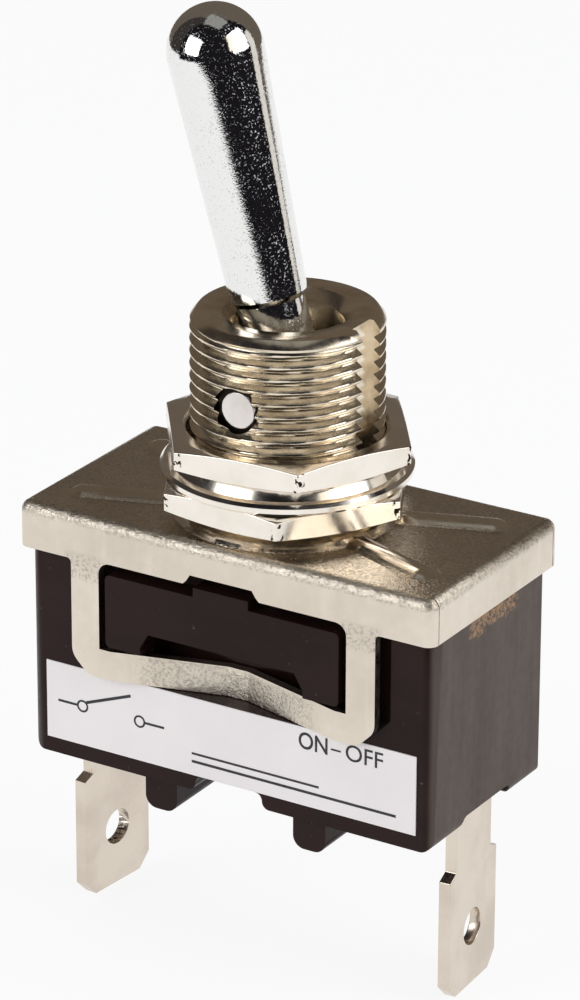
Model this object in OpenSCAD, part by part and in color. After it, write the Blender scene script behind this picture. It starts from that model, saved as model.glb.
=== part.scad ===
// Panel toggle switch, single pole, with a bat lever, a threaded bushing and two blade terminals.
// Millimetres. The frame's origin is the lever's pivot, on the bushing's axis, with +Z up out of
// the panel, X along the case and the label on the -Y side. Levels named *_z are measured from
// the top face of the cover frame, and lowered() shifts them to the pivot.

/* [Case] */
// Length of the moulded case at its rim
case_length = 28.9; // [27.5:0.1:31]
// Width of the moulded case
case_width = 13.5; // [13:0.1:15]
// Depth of the case below the top face of the cover frame
case_depth = 16.9; // [16.5:0.1:20]
// Draft of each end face over the depth of the case
end_draft = 0.15; // [0:0.05:0.4]
// Radius of the four upright corners
case_corner_radius = 0.9; // [0.4:0.1:1.2]
// Thickness of the moulded floor
floor_thickness = 1.7; // [1.5:0.1:2.2]
// Height of the two barrier ribs under the case
barrier_height = 2.35; // [1:0.05:4]
// Thickness of a barrier rib
barrier_thickness = 2.3; // [1.6:0.1:3]
// Distance of each barrier rib from the middle of the case
barrier_offset = 5.35; // [4.2:0.05:7]

/* [Cover frame] */
// Thickness of the frame's sheet steel
sheet = 0.6; // [0.5:0.05:0.7]
// Outside radius of the bends
bend_radius = 0.7; // [0.7:0.05:0.9]
// Height of the turned-down flanges, top face to lower edge
flange_height = 3.0; // [2.6:0.1:3.3]
// Air between the frame and the case
frame_clearance = 0.25; // [0.1:0.05:0.3]
// Height of the embossed collar and ribs
emboss_height = 0.38; // [0.2:0.02:0.45]
// Radius of the embossed collar round the bushing
collar_radius = 7.0; // [6.6:0.1:7.4]
// Width of an embossed rib
rib_width = 2.0; // [1.2:0.1:2.2]
// Distance from the end of the frame to the tip of an embossed rib
rib_inset = 1.85; // [1.5:0.05:3]
// Angle between an embossed rib and the length of the case
rib_angle = 20; // [14:1:22]

/* [Bail] */
// Width of the bail on each long side
bail_width = 21.6; // [20:0.1:23]
// Width of its legs
bail_leg = 2.0; // [1.6:0.1:2.5]
// Depth of its lower edge below the top face
bail_depth = 10.55; // [9.8:0.05:11]
// Height of its lower bar
bail_bar = 1.95; // [1.5:0.05:2.2]
// Cut across its two lower corners
bail_corner = 1.2; // [0.6:0.1:1.6]
// How far the middle of the bar is crimped into the case
crimp_depth = 2.0; // [1:0.1:2.2]

/* [Bushing] */
// Outside diameter of the threaded bushing, 15/32 inch
bushing_diameter = 11.9; // [11.5:0.05:12.2]
// Height of the bushing above the frame's top face
bushing_height = 13.0; // [12:0.1:15]
// Diameter of the mouth at the rim
mouth_diameter = 8.0; // [7.6:0.1:8.6]
// Diameter of the bore round the lever's ball
throat_diameter = 6.6; // [6.5:0.05:6.9]
// Diameter of the lower bore, where the lever's tail swings
tail_bore_diameter = 9.0; // [8.8:0.05:9.2]
// Pitch of the thread, 32 to the inch
thread_pitch = 0.794; // [0.75:0.001:1]
// Depth of the thread
thread_depth = 0.42; // [0.3:0.01:0.45]
// Width of the keyway
keyway_width = 2.0; // [1.5:0.1:2.6]
// Depth of the keyway
keyway_depth = 0.85; // [0.5:0.05:1]

/* [Nuts and washer] */
// Size across the flats of a nut
nut_flats = 14.25; // [13.8:0.05:14.6]
// Thickness of a nut
nut_thickness = 1.6; // [1.4:0.05:1.8]
// Level of the lower nut's underside
lower_nut_z = 1.05; // [0.8:0.05:1.3]
// Air between the nuts, which the lock washer fills
nut_gap = 1.5; // [1.4:0.05:1.8]
// Turn of the lower nut
lower_nut_turn = -3; // [-30:1:30]
// Turn of the upper nut
upper_nut_turn = 6; // [-30:1:30]
// Running clearance of a nut on the bushing, on the radius
nut_clearance = 0.05; // [0.03:0.01:0.08]
// How far the lock washer stands out past the flats of the nuts
washer_overhang = 0.62; // [0.3:0.02:0.9]

/* [Lever] */
// Height of the pivot above the frame's top face
pivot_height = 8.3; // [7.8:0.1:8.6]
// Tilt of the lever from upright at each end of its travel
lever_tilt = 14.3; // [10:0.1:14.6]
// Distance from the pivot to the lower end of the bat
bat_start = 5.5; // [5.3:0.1:6.5]
// Distance from the pivot to the centre of the bat's ball end
bat_ball_distance = 20.6; // [16:0.1:25]
// Diameter of the ball end
bat_ball_diameter = 5.9; // [5:0.1:6.5]
// Diameter of the bat's lower end
bat_root_diameter = 4.75; // [4.5:0.05:5]
// Diameter of the neck in the bushing's mouth
neck_diameter = 4.2; // [3.6:0.1:4.2]
// Diameter of the lever's pivot ball
pivot_ball_diameter = 6.0; // [5.6:0.1:6.1]
// Diameter of the lever's hollow tail
tail_diameter = 4.1; // [3.9:0.05:4.2]
// Distance from the pivot to the end of the tail
tail_length = 9.5; // [9:0.1:9.8]
// Diameter of the pivot pin
pin_diameter = 2.3; // [1.8:0.1:2.4]

/* [Mechanism] */
// Diameter of the plunger
plunger_diameter = 2.6; // [2.4:0.05:2.7]
// Tilt of the rocker from level at each end of its travel
rocker_tilt = 7; // [5:0.5:7.5]
// Height of the rocker's trunnion above the foot of the case
rocker_height = 5.3; // [5.1:0.05:5.5]
// Thickness of the contact arm
arm_thickness = 0.6; // [0.5:0.05:0.8]
// Width of the contact arm
arm_width = 4.4; // [3.6:0.1:4.6]
// Running clearance of a sliding or turning inner piece
running_clearance = 0.05; // [0.03:0.01:0.08]

/* [Terminals] */
// Width of a blade, quarter-inch series
blade_width = 6.35; // [4.8:0.05:6.6]
// Thickness of a blade
blade_thickness = 0.8; // [0.5:0.05:0.85]
// Width of the neck above the blade's shoulders
blade_neck = 4.7; // [3.6:0.1:4.8]
// Length of the neck from the foot of the case to the shoulders
neck_length = 3.7; // [3:0.1:4.6]
// Length of a blade from its shoulders to its tip
blade_length = 8.15; // [6.5:0.05:10]
// Diameter of the hole in a blade
blade_hole = 2.35; // [1.5:0.05:3]
// Distance from a blade's tip to its hole
blade_hole_rise = 3.9; // [3:0.1:5]
// Distance from each end of the case to the middle plane of its blade
blade_inset = 1.4; // [1.15:0.05:1.7]
// Twist of the common terminal's blade about its own upright line
common_blade_turn = -5.5; // [-8:0.5:8]
// Twist of the switched terminal's blade about its own upright line
switched_blade_turn = 3.5; // [-8:0.5:8]

/* [Label] */
// Distance from each end of the case to the label
label_inset = 1.2; // [1:0.1:4]
// Strip of case left bare under the label
label_margin = 1.05; // [0.8:0.05:2]
// Thickness of the label
label_thickness = 0.08; // [0.05:0.01:0.15]

/* [Hidden] */
$fn = 64;
cut = 1;

// Frame: outside faces of the flanges, and the sheet's inner faces.
frame_length = case_length + 0.5;
frame_inner_y = case_width / 2 + frame_clearance;
frame_outer_y = frame_inner_y + sheet;
frame_outer_x = frame_length / 2;
frame_inner_x = frame_outer_x - sheet;
rib_reach = (frame_outer_x - rib_inset) / cos(rib_angle);
flat_x = frame_outer_x - bend_radius;
flat_y = frame_outer_y - bend_radius;
seam = 0.06;
flange_end_y = flat_y - seam;
leg_fillet = 0.3;
bail_round = 1.2;
frame_hole_radius = tail_bore_diameter / 2 + 0.7;
notch_half_width = 2.45;
notch_height = 0.65;
window_corner = 0.8;
window_top_z = -flange_height + 0.2;
window_half = bail_width / 2 - bail_leg;
bar_top_z = -bail_depth + bail_bar;

// Case: cavity, seats for the insulator and the frame, recess and island behind each bail.
wall_x = 1.5;
cavity_x = case_length / 2 - wall_x;
side_wall = 2.3;
upper_side_wall = 1.3;
cavity_y = case_width / 2 - side_wall;
upper_cavity_y = case_width / 2 - upper_side_wall;
upper_cavity_z = -5.5;
insulator_thickness = 0.8;
insulator_top_z = emboss_height - sheet - 0.6;
insulator_seat_z = insulator_top_z - insulator_thickness;
insulator_margin = 0.35;
rim_z = -sheet;
rebate_x = frame_inner_x - 0.1;
floor_z = -case_depth + floor_thickness;
recess_gap = 0.6;
recess_depth = 0.6;
recess_y = case_width / 2 - recess_depth;
island_gap = 0.5;
island_y = frame_outer_y + 0.05;
island_top_z = window_top_z - 0.7;
island_bottom_z = bar_top_z + 0.3;
island_key_height = 0.6;
pocket_half = 5.2;
pocket_top_z = island_bottom_z + 1.5;
pocket_y = frame_inner_y - crimp_depth - 0.15;
crimp_reach = window_half - 0.8;
crimp_flat = 0.7;
barrier_half_y = case_width / 2 - 0.7;
centre_channel_half = 2.4;
centre_channel_height = 1.0;
end_notch_half = 2.85;
end_notch_height = 0.85;
foot_round = 0.8;

// Bushing and lever.
bushing_radius = bushing_diameter / 2;
bushing_seat_z = emboss_height;
thread_crest = thread_pitch / 8;
thread_lead = 0.5;
rim_flat_radius = bushing_radius - 0.5;
rim_drop = 0.48;
mouth_bevel = (mouth_diameter - throat_diameter) / 2;
stake_height = 0.55;
stake_lip = 0.35;
neck_radius = frame_hole_radius - 0.01;
stake_radius = neck_radius + stake_lip;
tail_bore_top = -3.3;
throat_end = -2.0;
pin_length = bushing_diameter - 0.6;
pin_recess_radius = pin_diameter / 2 + 0.3;
pin_fit = 0.01;
tail_bore_radius = plunger_diameter / 2 + running_clearance;
tail_bore_end = pin_diameter / 2 + 1.5;
neck_chamfer = (bat_root_diameter - neck_diameter) / 2;

// Nuts and washer.
nut_radius = nut_flats / sqrt(3);
nut_face_radius = nut_flats / 2 - 0.05;
nut_corner_drop = 0.24;
nut_bore_radius = bushing_radius + nut_clearance;
washer_z = lower_nut_z + nut_thickness;
upper_nut_z = washer_z + nut_gap;
washer_radius = nut_flats / 2 + washer_overhang;
washer_inner = bushing_radius + 0.15;
washer_rim = 0.7;
washer_crown_air = 0.05;

// Plunger and rocker. In the rocker's own frame the plunger's ball runs on an arc: it passes
// ball_low above the trunnion at mid travel and (end_x, end_z) at the end of it.
rocker_z = rocker_height - case_depth;
drop = pivot_height - rocker_z;
ball_radius = plunger_diameter / 2;
cam_thickness = 1.0;
cam_clearance = 0.08;
ball_low = arm_thickness / 2 + cam_thickness + cam_clearance + ball_radius;
ball_distance = drop - ball_low;
end_out = ball_distance * sin(lever_tilt);
end_up = drop - ball_distance * cos(lever_tilt);
end_x = end_out * cos(rocker_tilt) - end_up * sin(rocker_tilt);
end_z = end_out * sin(rocker_tilt) + end_up * cos(rocker_tilt);
ball_rise = end_z - ball_low;
path_radius = (end_x * end_x + ball_rise * ball_rise) / (2 * ball_rise);
cam_radius = path_radius + ball_radius + cam_clearance;
cam_centre_z = ball_low + path_radius;
cam_half_length = end_x + ball_radius + 0.5;
cam_top = end_z - 0.7;
cam_width = arm_width - 0.4;
plunger_shoulder = 6.2;
plunger_stem_radius = 0.55;
plunger_stem = 1.0;
spring_wire = 0.4;
spring_radius = tail_bore_radius - 0.15 - spring_wire / 2;
spring_turns = 5;
spring_top = tail_bore_end + 0.02;
trunnion_radius = 0.5;
blade_x = case_length / 2 - blade_inset;
contact_inset = 4.15;
contact_x = blade_x - contact_inset;
arm_left = 7.5;
arm_right = contact_x + 1;
button_height = 0.5;
button_radius = 1.3;
button_dome = 3;
contact_air = 0.02;
dome_centre_z = button_dome - arm_thickness / 2 - button_height;
touch_x = contact_x * cos(rocker_tilt) + dome_centre_z * sin(rocker_tilt);
touch_z = rocker_z - contact_x * sin(rocker_tilt) + dome_centre_z * cos(rocker_tilt) - button_dome;
foot_top_z = floor_z + blade_thickness;
saddle_sheet = 0.5;
saddle_length = 3.2;
saddle_inner_y = arm_width / 2 + 0.4;
saddle_outer_y = saddle_inner_y + saddle_sheet;
saddle_rise = 0.9;
rivet_radius = 0.8;
rivet_head = 0.35;
rivet_head_radius = 1.3;
stop_air = 0.05;
stop_top_z = rocker_z - arm_left * sin(rocker_tilt) - arm_thickness / 2 * cos(rocker_tilt) - stop_air;
stop_inner_y = 1.5;
stop_length = 1.3;

// Terminals and label.
shoulder_z = -case_depth - neck_length;
blade_tip_z = shoulder_z - blade_length;
foot_half_y = 1.2;
common_foot_end = 2.6;
switched_foot_end = touch_x - 1.7;
blade_corner = 0.95;
shoulder_slope = 0.35;
slot_clearance = 0.05;
label_top_z = -bail_depth - 0.1;
label_x = case_length / 2 - label_inset;

nickel = "#b9b4a8";
chrome = "#c9ccd1";
phenolic = "#352c2b";
tin = "#c8bfae";
brass = "#c6a052";
silver = "#d9d9d6";
fibre = "#8a6a4a";
nylon = "#e9e4d6";
paper = "#ece5e2";

// Moves levels measured from the frame's top face into the frame of the pivot.
module lowered() {
    translate([0, 0, -pivot_height])
        children();
}

// Holds lever pieces, built upright about the pivot, in the rest pose.
module lever_at_rest() {
    rotate([0, -lever_tilt, 0])
        children();
}

// Holds rocker pieces, built level about the trunnion, in the rest pose.
module rocker_at_rest() {
    translate([0, 0, rocker_z - pivot_height])
        rotate([0, rocker_tilt, 0])
            children();
}

// Box between two opposite corners.
module span(low, high) {
    translate(low)
        cube(high - low);
}

// Extrudes an outline drawn in X and Z through Y.
module through_y(y_low, y_high) {
    translate([0, y_high, 0])
        rotate([90, 0, 0])
            linear_extrude(y_high - y_low)
                children();
}

// Extrudes an outline drawn in Y and Z through X.
module through_x(x_low, x_high) {
    translate([x_low, 0, 0])
        rotate([90, 0, 90])
            linear_extrude(x_high - x_low)
                children();
}

// Rectangle with round corners, centred on the origin.
module round_rect(size, radius) {
    square([size.x - 2 * radius, size.y], center = true);
    square([size.x, size.y - 2 * radius], center = true);
    for (x = [-1, 1], y = [-1, 1])
        translate([x * (size.x / 2 - radius), y * (size.y / 2 - radius)])
            circle(radius);
}

// Puts a second copy on the opposite long side.
module both_sides() {
    children();
    rotate([0, 0, 180])
        children();
}

// ---- Cover frame ---------------------------------------------------------------------------

// Quarter of a rolled bend along +X, centred on its length, turning from +Z down to -Y.
module bend(length) {
    translate([-length / 2, 0, 0])
        rotate([0, 90, 0])
            intersection() {
                difference() {
                    cylinder(h = length, r = bend_radius);
                    translate([0, 0, -cut])
                        cylinder(h = length + 2 * cut, r = bend_radius - sheet);
                }
                translate([-bend_radius - cut, -bend_radius - cut, 0])
                    cube([bend_radius + cut, bend_radius + cut, length]);
            }
}

// Points on an arc, for outlines drawn as polygons.
function arc(x, z, r, from, to) =
    [for (i = [0:6])
        let (a = from + (to - from) * i / 6)
            [x + r * cos(a), z + r * sin(a)]];

// Front outline of a long flange with its bail, drawn in X and Z.
module flange_outline() {
    half = bail_width / 2;
    low = -flange_height;
    turn = bail_round * tan(22.5);
    slope = bail_corner + turn;
    difference() {
        polygon(concat(
            [[-flat_x, -bend_radius], [-flat_x, low]],
            arc(-half - leg_fillet, low - leg_fillet, leg_fillet, 90, 0),
            arc(-half + bail_round, -bail_depth + slope, bail_round, 180, 225),
            arc(-half + slope, -bail_depth + bail_round, bail_round, 225, 270),
            arc(half - slope, -bail_depth + bail_round, bail_round, -90, -45),
            arc(half - bail_round, -bail_depth + slope, bail_round, -45, 0),
            arc(half + leg_fillet, low - leg_fillet, leg_fillet, 180, 90),
            [[flat_x, low], [flat_x, -bend_radius]]));
        bail_window();
    }
}

// The bail's window, with a raised notch in its top edge and two round upper corners.
module bail_window() {
    top = window_top_z;
    r = window_corner;
    polygon(concat(
        [[-window_half, bar_top_z], [window_half, bar_top_z]],
        [for (a = [0:15:90]) [window_half - r + r * cos(a), top - r + r * sin(a)]],
        [[notch_half_width + 0.25, top], [notch_half_width, top + 0.25],
         [notch_half_width - 0.25, top + notch_height],
         [-notch_half_width + 0.25, top + notch_height],
         [-notch_half_width, top + 0.25], [-notch_half_width - 0.25, top]],
        [for (a = [90:15:180]) [-window_half + r + r * cos(a), top - r + r * sin(a)]]));
}

// Plan of the lower bar, drawn in X and Y: flat at the ends and crimped inwards in a V.
module crimped_bar_plan() {
    out = -frame_outer_y;
    half = bail_width / 2 + cut;
    polygon([
        [-half, out], [-crimp_reach, out], [-crimp_flat, out + crimp_depth],
        [crimp_flat, out + crimp_depth], [crimp_reach, out], [half, out],
        [half, out + sheet], [crimp_reach, out + sheet], [crimp_flat, out + crimp_depth + sheet],
        [-crimp_flat, out + crimp_depth + sheet], [-crimp_reach, out + sheet],
        [-half, out + sheet]]);
}

// Long flange with its bail, on the -Y side.
module long_flange() {
    intersection() {
        through_y(-frame_outer_y - cut, cut)
            flange_outline();
        union() {
            span([-frame_outer_x, -frame_outer_y, bar_top_z], [frame_outer_x, -frame_inner_y, 0]);
            translate([0, 0, -bail_depth - cut])
                linear_extrude(bail_bar + cut)
                    crimped_bar_plan();
        }
    }
    translate([0, -flat_y, -bend_radius])
        bend(2 * flat_x);
}

// End of the long flange, wrapped a quarter turn round the corner at +X, -Y, under a drawn dome.
module wrapped_corner() {
    low = bend_radius - flange_height;
    translate([flat_x, -flat_y, -bend_radius])
        intersection() {
            difference() {
                union() {
                    sphere(bend_radius);
                    translate([0, 0, low])
                        cylinder(h = -low, r = bend_radius);
                }
                sphere(bend_radius - sheet);
                translate([0, 0, low - cut])
                    cylinder(h = cut - low, r = bend_radius - sheet);
            }
            span([0, -2 * bend_radius, low - cut], [2 * bend_radius, 0, 2 * bend_radius]);
        }
}

// End flange, on the +X side, with a thin open seam beside each wrapped corner.
module end_flange() {
    span([frame_inner_x, -flange_end_y, -flange_height], [frame_outer_x, flange_end_y, -bend_radius]);
    translate([flat_x, 0, -bend_radius])
        rotate([0, 0, 90])
            bend(2 * flange_end_y);
}

// One embossed rib along +X: the outer face when inner is 0, or the hollow under it.
module rib_form(inner) {
    crown = (rib_width * rib_width / 4 + emboss_height * emboss_height) / (2 * emboss_height);
    r = crown - inner;
    tip = rib_reach - rib_width / 2;
    translate([0, 0, emboss_height - crown]) {
        rotate([0, 90, 0])
            cylinder(h = tip, r = r);
        translate([tip, 0, 0])
            sphere(r);
    }
}

module four_ribs(inner) {
    for (a = [rib_angle, -rib_angle, 180 - rib_angle, 180 + rib_angle])
        rotate([0, 0, a])
            rib_form(inner);
}

module cover_frame() {
    color(nickel)
        lowered() {
            difference() {
                union() {
                    span([-flat_x, -flat_y, -sheet], [flat_x, flat_y, 0]);
                    intersection() {
                        four_ribs(0);
                        span([-flat_x, -flat_y, -sheet / 2], [flat_x, flat_y, emboss_height]);
                    }
                    cylinder(h = emboss_height, r1 = collar_radius, r2 = collar_radius - 0.4);
                }
                intersection() {
                    four_ribs(sheet);
                    span([-flat_x, -flat_y, -sheet - cut], [flat_x, flat_y, emboss_height]);
                }
                translate([0, 0, -sheet])
                    cylinder(h = emboss_height, r1 = collar_radius - 0.5, r2 = collar_radius - 0.9);
                translate([0, 0, -sheet - cut])
                    cylinder(h = sheet + emboss_height + 2 * cut, r = frame_hole_radius);
            }
            both_sides()
                long_flange();
            both_sides()
                end_flange();
            for (x = [0, 1], y = [0, 1])
                mirror([x, 0, 0])
                    mirror([0, y, 0])
                        wrapped_corner();
        }
}

// ---- Case ----------------------------------------------------------------------------------

// Notch cut up into the foot of the case, with round shoulders at its mouth and round corners.
module foot_notch(half, height) {
    r = height / 2;
    low = -case_depth;
    polygon(concat(
        [[-half - r, low - cut]],
        arc(-half - r, low + r, r, -90, 0),
        arc(-half + r, low + height - r, r, 180, 90),
        arc(half - r, low + height - r, r, 90, 0),
        arc(half + r, low + r, r, 180, 270),
        [[half + r, low - cut]]));
}

// Side outline of the case in X and Z, narrower at the foot by the draft.
module case_side() {
    top_half = case_length / 2;
    foot_half = top_half - end_draft;
    below = -flange_height - 0.05;
    r = foot_round;
    polygon(concat(
        arc(-foot_half + r, -case_depth + r, r, 180, 270),
        arc(foot_half - r, -case_depth + r, r, -90, 0),
        [[top_half, below], [rebate_x, below], [rebate_x, rim_z], [-rebate_x, rim_z],
         [-rebate_x, below], [-top_half, below]]));
}

// Recess for one bail, in X and Z: follows the bail with an even gap.
module recess_outline() {
    half = bail_width / 2 + recess_gap;
    low = -bail_depth - 0.05;
    polygon([
        [-half, cut], [-half, low + bail_corner + recess_gap],
        [-half + bail_corner + recess_gap, low], [half - bail_corner - recess_gap, low],
        [half, low + bail_corner + recess_gap], [half, cut]]);
}

// Raised island that fills the bail's window, with a key in the window's notch.
module island_outline() {
    half = window_half - island_gap;
    translate([0, (island_top_z + island_bottom_z) / 2])
        round_rect([2 * half, island_top_z - island_bottom_z], 0.35);
    translate([-notch_half_width + 0.5, island_top_z - 0.5])
        square([2 * notch_half_width - 1, island_key_height + 0.5]);
}

// Pocket that takes the crimped middle of the bar.
module pocket_outline() {
    low = -bail_depth - 0.05;
    slope = 0.6;
    polygon([
        [-pocket_half - slope, low], [pocket_half + slope, low],
        [pocket_half + slope, pocket_top_z - 1], [pocket_half, pocket_top_z],
        [-pocket_half, pocket_top_z], [-pocket_half - slope, pocket_top_z - 1]]);
}

// Barrier rib outline in X and Z, rounded at its foot.
module barrier_outline() {
    r = 0.8;
    translate([0, -case_depth - barrier_height / 2 + 0.5])
        round_rect([barrier_thickness, barrier_height + 1], r);
}

// Outline of a blade terminal's upright strip in Y and Z, grown by a clearance for its slot.
module blade_outline(grow) {
    neck = blade_neck / 2 + grow;
    half = blade_width / 2;
    polygon([
        [-neck, foot_top_z], [-neck, shoulder_z + shoulder_slope], [-half, shoulder_z],
        [-half, blade_tip_z + blade_corner], [-half + blade_corner, blade_tip_z],
        [half - blade_corner, blade_tip_z], [half, blade_tip_z + blade_corner],
        [half, shoulder_z], [neck, shoulder_z + shoulder_slope], [neck, foot_top_z]]);
}

// Slot in the case's floor for a terminal's neck.
module neck_slot(turn) {
    reach = blade_thickness / 2 + slot_clearance;
    rotate([0, 0, turn])
        span([-reach, -blade_neck / 2 - slot_clearance, -case_depth - cut],
            [reach, blade_neck / 2 + slot_clearance, foot_top_z + slot_clearance]);
}

module housing() {
    color(phenolic)
        lowered() {
            difference() {
                union() {
                    intersection() {
                        through_y(-case_width, case_width)
                            case_side();
                        translate([0, 0, -case_depth - cut])
                            linear_extrude(case_depth + 2 * cut)
                                round_rect([case_length, case_width], case_corner_radius);
                    }
                    for (side = [-1, 1])
                        translate([side * barrier_offset, 0, 0])
                            through_y(-barrier_half_y, barrier_half_y)
                                barrier_outline();
                }
                // Upper and lower cavity, and the seat of the insulator.
                span([-cavity_x, -cavity_y, floor_z], [cavity_x, cavity_y, cut]);
                span([-cavity_x, -upper_cavity_y, upper_cavity_z], [cavity_x, upper_cavity_y, cut]);
                span([-cavity_x - insulator_margin, -upper_cavity_y - insulator_margin, insulator_seat_z],
                    [cavity_x + insulator_margin, upper_cavity_y + insulator_margin, cut]);
                // Recess and pocket behind each bail.
                both_sides() {
                    through_y(-case_width, -recess_y)
                        recess_outline();
                    through_y(-case_width, -pocket_y)
                        pocket_outline();
                }
                // Channel under the middle, and a notch under each end wall.
                through_y(-case_width, case_width)
                    foot_notch(centre_channel_half, centre_channel_height);
                for (x = [-case_length, blade_x])
                    through_x(x, x + case_length - blade_x)
                        foot_notch(end_notch_half, end_notch_height);
                // Terminal necks, and a seat for the rivet's lower head.
                translate([-blade_x, 0, 0])
                    neck_slot(common_blade_turn);
                translate([blade_x, 0, 0])
                    neck_slot(switched_blade_turn);
                translate([0, 0, floor_z - rivet_head - slot_clearance])
                    cylinder(h = rivet_head + cut, r = rivet_head_radius + 0.1);
            }
            // Islands stand in the bails' windows, open at the pocket.
            both_sides()
                difference() {
                    through_y(-island_y, -recess_y + 0.2)
                        island_outline();
                    through_y(-case_width, -pocket_y)
                        pocket_outline();
                }
            // Stop posts under the free end of the contact arm.
            for (y = [-cavity_y - 0.2, stop_inner_y])
                span([-arm_left - 0.3, y, floor_z - 0.2],
                    [-arm_left - 0.3 + stop_length, y + cavity_y + 0.2 - stop_inner_y, stop_top_z]);
        }
}

// Fibre plate under the frame, with a slot in which the lever's tail swings.
module insulator_plate() {
    x = cavity_x + insulator_margin - 0.1;
    y = upper_cavity_y + insulator_margin - 0.1;
    slot_x = tail_length * sin(lever_tilt) + tail_diameter / 2 + 0.5;
    slot_y = tail_diameter / 2 + 0.4;
    color(fibre)
        lowered()
            difference() {
                span([-x, -y, insulator_seat_z], [x, y, insulator_top_z]);
                translate([0, 0, insulator_seat_z - cut])
                    linear_extrude(insulator_thickness + 2 * cut)
                        round_rect([2 * slot_x, 2 * slot_y], slot_y - 0.3);
            }
}

// ---- Bushing, pin and nuts -----------------------------------------------------------------

// Turned form of the bushing: staked neck, barrel with bevelled rim and mouth, throat round the
// lever's ball, and the flared bore for its tail.
module turned_bushing() {
    high = bushing_height - rim_drop;
    stake_z = emboss_height - sheet;
    rotate_extrude()
        polygon([
            [tail_bore_diameter / 2, stake_z - stake_height], [stake_radius, stake_z - stake_height],
            [stake_radius, stake_z], [neck_radius, stake_z], [neck_radius, bushing_seat_z],
            [bushing_radius, bushing_seat_z], [bushing_radius, high], [rim_flat_radius, bushing_height],
            [mouth_diameter / 2, bushing_height], [throat_diameter / 2, bushing_height - mouth_bevel],
            [throat_diameter / 2, pivot_height + throat_end],
            [tail_bore_diameter / 2, pivot_height + tail_bore_top]]);
}

// One ring groove for each turn of the thread, from the rim down to a short plain land.
module thread_grooves() {
    high = bushing_height - rim_drop;
    turns = floor((high - bushing_seat_z - thread_lead) / thread_pitch);
    over = 0.3;
    root_half = thread_pitch / 2 - thread_crest / 2 - thread_depth * tan(30);
    mouth_half = root_half + (thread_depth + over) * tan(30);
    for (i = [0:turns - 1])
        translate([0, 0, high - thread_crest / 2 - (i + 0.5) * thread_pitch])
            rotate_extrude()
                polygon([
                    [bushing_radius - thread_depth, -root_half], [bushing_radius + over, -mouth_half],
                    [bushing_radius + over, mouth_half], [bushing_radius - thread_depth, root_half]]);
}

// Hole through one wall of the bushing on the -Y side, centred on the pivot.
module pin_hole(radius, from_y, to_y) {
    translate([0, -from_y, pivot_height])
        rotate([90, 0, 0])
            cylinder(h = to_y - from_y, r = radius);
}

module bushing() {
    inside = throat_diameter / 2 - 0.5;
    outside = bushing_radius + cut;
    color(nickel)
        lowered()
            difference() {
                turned_bushing();
                // Hole for the pivot pin, with a shallow counterbore at each end.
                both_sides() {
                    pin_hole(pin_diameter / 2 + pin_fit, inside, outside);
                    pin_hole(pin_recess_radius, pin_length / 2, outside);
                }
                // Keyway on the +X side.
                span([bushing_radius - keyway_depth, -keyway_width / 2, bushing_seat_z + 0.6],
                    [bushing_radius + cut, keyway_width / 2, bushing_height + cut]);
                thread_grooves();
            }
}

module pivot_pin() {
    color(nickel)
        rotate([90, 0, 0])
            cylinder(h = pin_length, r = pin_diameter / 2, center = true);
}

// Hexagon nut with its corners turned off on both faces, standing on z = 0.
module hex_nut() {
    bevel = 0.35;
    difference() {
        intersection() {
            cylinder(h = nut_thickness, r = nut_radius, $fn = 6);
            rotate_extrude()
                polygon([
                    [0, 0], [nut_face_radius, 0], [nut_radius, nut_corner_drop],
                    [nut_radius, nut_thickness - nut_corner_drop], [nut_face_radius, nut_thickness],
                    [0, nut_thickness]]);
        }
        translate([0, 0, -cut])
            cylinder(h = nut_thickness + 2 * cut, r = nut_bore_radius);
        translate([0, 0, -0.01])
            cylinder(h = bevel, r1 = nut_bore_radius + bevel, r2 = nut_bore_radius);
        translate([0, 0, nut_thickness - bevel + 0.01])
            cylinder(h = bevel, r1 = nut_bore_radius, r2 = nut_bore_radius + bevel);
    }
}

module lower_nut() {
    color(nickel)
        lowered()
            translate([0, 0, lower_nut_z])
                rotate([0, 0, lower_nut_turn])
                    hex_nut();
}

module upper_nut() {
    color(nickel)
        lowered()
            translate([0, 0, upper_nut_z])
                rotate([0, 0, upper_nut_turn])
                    hex_nut();
}

// Dished lock washer: a rolled rim on the lower nut and a raised crown under the upper one.
module lock_washer() {
    crown = nut_gap - washer_crown_air;
    crown_sheet = 0.55;
    ring = washer_radius - washer_inner;
    soft = 0.12 * ring;
    color(nickel)
        lowered()
            translate([0, 0, washer_z])
                rotate_extrude()
                    polygon([
                        [washer_radius - 0.48 * ring, 0], [washer_radius - soft, 0],
                        [washer_radius, soft], [washer_radius, washer_rim - soft],
                        [washer_radius - soft, washer_rim], [washer_radius - 0.42 * ring, washer_rim],
                        [washer_inner + 0.3 * ring, crown], [washer_inner, crown],
                        [washer_inner, crown - crown_sheet],
                        [washer_inner + 0.18 * ring, crown - crown_sheet]]);
}

// ---- Lever and plunger ---------------------------------------------------------------------

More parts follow.
